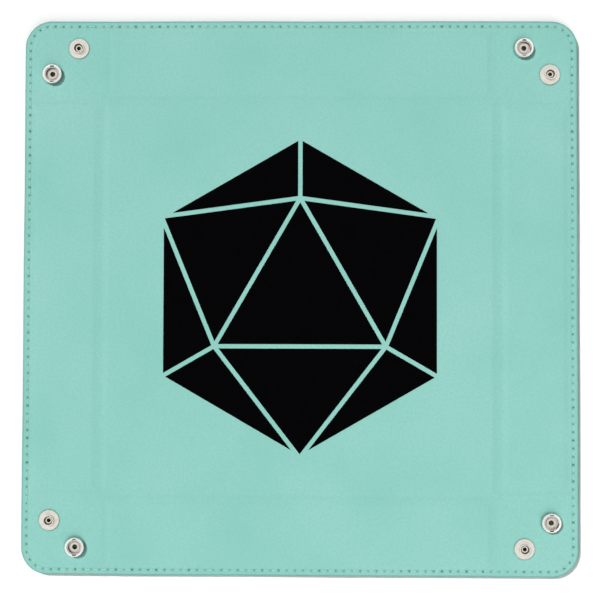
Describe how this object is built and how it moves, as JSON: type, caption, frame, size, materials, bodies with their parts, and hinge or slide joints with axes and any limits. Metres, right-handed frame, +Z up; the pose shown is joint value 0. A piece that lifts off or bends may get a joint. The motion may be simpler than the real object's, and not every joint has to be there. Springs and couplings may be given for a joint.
{
  "type": "folding dice tray",
  "caption": "Square leatherette dice tray that lies flat; its corners pinch together and snap so the sides stand up as walls.",
  "frame": {"origin": "centre of the tray's underside, on the surface it lies on, with the tray open and flat", "axes": "+Z up out of the inner, printed face; +Y towards the north wall (top of the picture); +X towards the east wall (right of the picture)"},
  "size_m": [0.2286, 0.2286, 0.0051],
  "materials": {
    "leatherette": "pale teal, fine pebbled grain, satin",
    "board": "greyboard, matt",
    "thread": "teal polyester sewing thread",
    "nickel": "nickel plate, polished",
    "ink": "black screen print, matt"
  },
  "bodies": {
    "base": {"base_inner_leather": "leatherette", "base_outer_leather": "leatherette", "base_board": "board", "base_emblem": "ink"},
    "north_wall": {"north_wall_inner_leather": "leatherette", "north_wall_outer_leather": "leatherette", "north_wall_board": "board", "north_wall_thread": "thread"},
    "north_stud_ear": {"north_stud_ear_leather": "leatherette", "north_stud_ear_thread": "thread", "north_stud": "nickel", "north_stud_eyelet": "nickel"},
    "north_stud_fold": {"north_stud_fold_leather": "leatherette"},
    "north_socket_ear": {"north_socket_ear_leather": "leatherette", "north_socket_ear_thread": "thread", "north_socket": "nickel", "north_socket_cap": "nickel"},
    "north_socket_fold": {"north_socket_fold_leather": "leatherette"},
    "east_wall": {"east_wall_inner_leather": "leatherette", "east_wall_outer_leather": "leatherette", "east_wall_board": "board", "east_wall_thread": "thread"},
    "east_stud_ear": {"east_stud_ear_leather": "leatherette", "east_stud_ear_thread": "thread", "east_stud": "nickel", "east_stud_eyelet": "nickel"},
    "east_stud_fold": {"east_stud_fold_leather": "leatherette"},
    "east_socket_ear": {"east_socket_ear_leather": "leatherette", "east_socket_ear_thread": "thread", "east_socket": "nickel", "east_socket_cap": "nickel"},
    "east_socket_fold": {"east_socket_fold_leather": "leatherette"},
    "south_wall": {"south_wall_inner_leather": "leatherette", "south_wall_outer_leather": "leatherette", "south_wall_board": "board", "south_wall_thread": "thread"},
    "south_stud_ear": {"south_stud_ear_leather": "leatherette", "south_stud_ear_thread": "thread", "south_stud": "nickel", "south_stud_eyelet": "nickel"},
    "south_stud_fold": {"south_stud_fold_leather": "leatherette"},
    "south_socket_ear": {"south_socket_ear_leather": "leatherette", "south_socket_ear_thread": "thread", "south_socket": "nickel", "south_socket_cap": "nickel"},
    "south_socket_fold": {"south_socket_fold_leather": "leatherette"},
    "west_wall": {"west_wall_inner_leather": "leatherette", "west_wall_outer_leather": "leatherette", "west_wall_board": "board", "west_wall_thread": "thread"},
    "west_stud_ear": {"west_stud_ear_leather": "leatherette", "west_stud_ear_thread": "thread", "west_stud": "nickel", "west_stud_eyelet": "nickel"},
    "west_stud_fold": {"west_stud_fold_leather": "leatherette"},
    "west_socket_ear": {"west_socket_ear_leather": "leatherette", "west_socket_ear_thread": "thread", "west_socket": "nickel", "west_socket_cap": "nickel"},
    "west_socket_fold": {"west_socket_fold_leather": "leatherette"}
  },
  "joints": [
    {"name": "north_wall_fold", "type": "hinge", "parent": "base", "child": "north_wall", "pos_m": [0, 0.0823, 0.0035], "axis": [1, 0, 0], "range_deg": [0, 90]},
    {"name": "north_stud_ear_fold", "type": "hinge", "parent": "north_wall", "child": "north_stud_ear", "pos_m": [-0.08023, 0.0983, 0.0009], "axis": [0, -1, 0], "range_deg": [0, 45]},
    {"name": "north_stud_edge_fold", "type": "hinge", "parent": "north_stud_ear", "child": "north_stud_fold", "pos_m": [-0.0983, 0.0983, 0.0042], "axis": [-0.7071, 0.7071, 0], "range_deg": [0, 90]},
    {"name": "north_socket_ear_fold", "type": "hinge", "parent": "north_wall", "child": "north_socket_ear", "pos_m": [0.08023, 0.0983, 0.0009], "axis": [0, 1, 0], "range_deg": [0, 45]},
    {"name": "north_socket_edge_fold", "type": "hinge", "parent": "north_socket_ear", "child": "north_socket_fold", "pos_m": [0.0983, 0.0983, 0.0042], "axis": [-0.7071, -0.7071, 0], "range_deg": [0, 90]},
    {"name": "east_wall_fold", "type": "hinge", "parent": "base", "child": "east_wall", "pos_m": [0.0823, 0, 0.0035], "axis": [0, -1, 0], "range_deg": [0, 90]},
    {"name": "east_stud_ear_fold", "type": "hinge", "parent": "east_wall", "child": "east_stud_ear", "pos_m": [0.0983, 0.08023, 0.0009], "axis": [-1, 0, 0], "range_deg": [0, 45]},
    {"name": "east_stud_edge_fold", "type": "hinge", "parent": "east_stud_ear", "child": "east_stud_fold", "pos_m": [0.0983, 0.0983, 0.0042], "axis": [0.7071, 0.7071, 0], "range_deg": [0, 90]},
    {"name": "east_socket_ear_fold", "type": "hinge", "parent": "east_wall", "child": "east_socket_ear", "pos_m": [0.0983, -0.08023, 0.0009], "axis": [1, 0, 0], "range_deg": [0, 45]},
    {"name": "east_socket_edge_fold", "type": "hinge", "parent": "east_socket_ear", "child": "east_socket_fold", "pos_m": [0.0983, -0.0983, 0.0042], "axis": [-0.7071, 0.7071, 0], "range_deg": [0, 90]},
    {"name": "south_wall_fold", "type": "hinge", "parent": "base", "child": "south_wall", "pos_m": [0, -0.0823, 0.0035], "axis": [-1, 0, 0], "range_deg": [0, 90]},
    {"name": "south_stud_ear_fold", "type": "hinge", "parent": "south_wall", "child": "south_stud_ear", "pos_m": [0.08023, -0.0983, 0.0009], "axis": [0, 1, 0], "range_deg": [0, 45]},
    {"name": "south_stud_edge_fold", "type": "hinge", "parent": "south_stud_ear", "child": "south_stud_fold", "pos_m": [0.0983, -0.0983, 0.0042], "axis": [0.7071, -0.7071, 0], "range_deg": [0, 90]},
    {"name": "south_socket_ear_fold", "type": "hinge", "parent": "south_wall", "child": "south_socket_ear", "pos_m": [-0.08023, -0.0983, 0.0009], "axis": [0, -1, 0], "range_deg": [0, 45]},
    {"name": "south_socket_edge_fold", "type": "hinge", "parent": "south_socket_ear", "child": "south_socket_fold", "pos_m": [-0.0983, -0.0983, 0.0042], "axis": [0.7071, 0.7071, 0], "range_deg": [0, 90]},
    {"name": "west_wall_fold", "type": "hinge", "parent": "base", "child": "west_wall", "pos_m": [-0.0823, 0, 0.0035], "axis": [0, 1, 0], "range_deg": [0, 90]},
    {"name": "west_stud_ear_fold", "type": "hinge", "parent": "west_wall", "child": "west_stud_ear", "pos_m": [-0.0983, -0.08023, 0.0009], "axis": [1, 0, 0], "range_deg": [0, 45]},
    {"name": "west_stud_edge_fold", "type": "hinge", "parent": "west_stud_ear", "child": "west_stud_fold", "pos_m": [-0.0983, -0.0983, 0.0042], "axis": [-0.7071, -0.7071, 0], "range_deg": [0, 90]},
    {"name": "west_socket_ear_fold", "type": "hinge", "parent": "west_wall", "child": "west_socket_ear", "pos_m": [-0.0983, 0.08023, 0.0009], "axis": [-1, 0, 0], "range_deg": [0, 45]},
    {"name": "west_socket_edge_fold", "type": "hinge", "parent": "west_socket_ear", "child": "west_socket_fold", "pos_m": [-0.0983, 0.0983, 0.0042], "axis": [0.7071, -0.7071, 0], "range_deg": [0, 90]}
  ],
  "couplings": [
    {"joint": "north_stud_ear_fold", "follows": "north_wall_fold", "ratio": 0.5},
    {"joint": "north_stud_edge_fold", "follows": "north_wall_fold", "ratio": 1},
    {"joint": "north_socket_ear_fold", "follows": "north_wall_fold", "ratio": 0.5},
    {"joint": "north_socket_edge_fold", "follows": "north_wall_fold", "ratio": 1},
    {"joint": "east_wall_fold", "follows": "north_wall_fold", "ratio": 1},
    {"joint": "east_stud_ear_fold", "follows": "north_wall_fold", "ratio": 0.5},
    {"joint": "east_stud_edge_fold", "follows": "north_wall_fold", "ratio": 1},
    {"joint": "east_socket_ear_fold", "follows": "north_wall_fold", "ratio": 0.5},
    {"joint": "east_socket_edge_fold", "follows": "north_wall_fold", "ratio": 1},
    {"joint": "south_wall_fold", "follows": "north_wall_fold", "ratio": 1},
    {"joint": "south_stud_ear_fold", "follows": "north_wall_fold", "ratio": 0.5},
    {"joint": "south_stud_edge_fold", "follows": "north_wall_fold", "ratio": 1},
    {"joint": "south_socket_ear_fold", "follows": "north_wall_fold", "ratio": 0.5},
    {"joint": "south_socket_edge_fold", "follows": "north_wall_fold", "ratio": 1},
    {"joint": "west_wall_fold", "follows": "north_wall_fold", "ratio": 1},
    {"joint": "west_stud_ear_fold", "follows": "north_wall_fold", "ratio": 0.5},
    {"joint": "west_stud_edge_fold", "follows": "north_wall_fold", "ratio": 1},
    {"joint": "west_socket_ear_fold", "follows": "north_wall_fold", "ratio": 0.5},
    {"joint": "west_socket_edge_fold", "follows": "north_wall_fold", "ratio": 1}
  ]
}
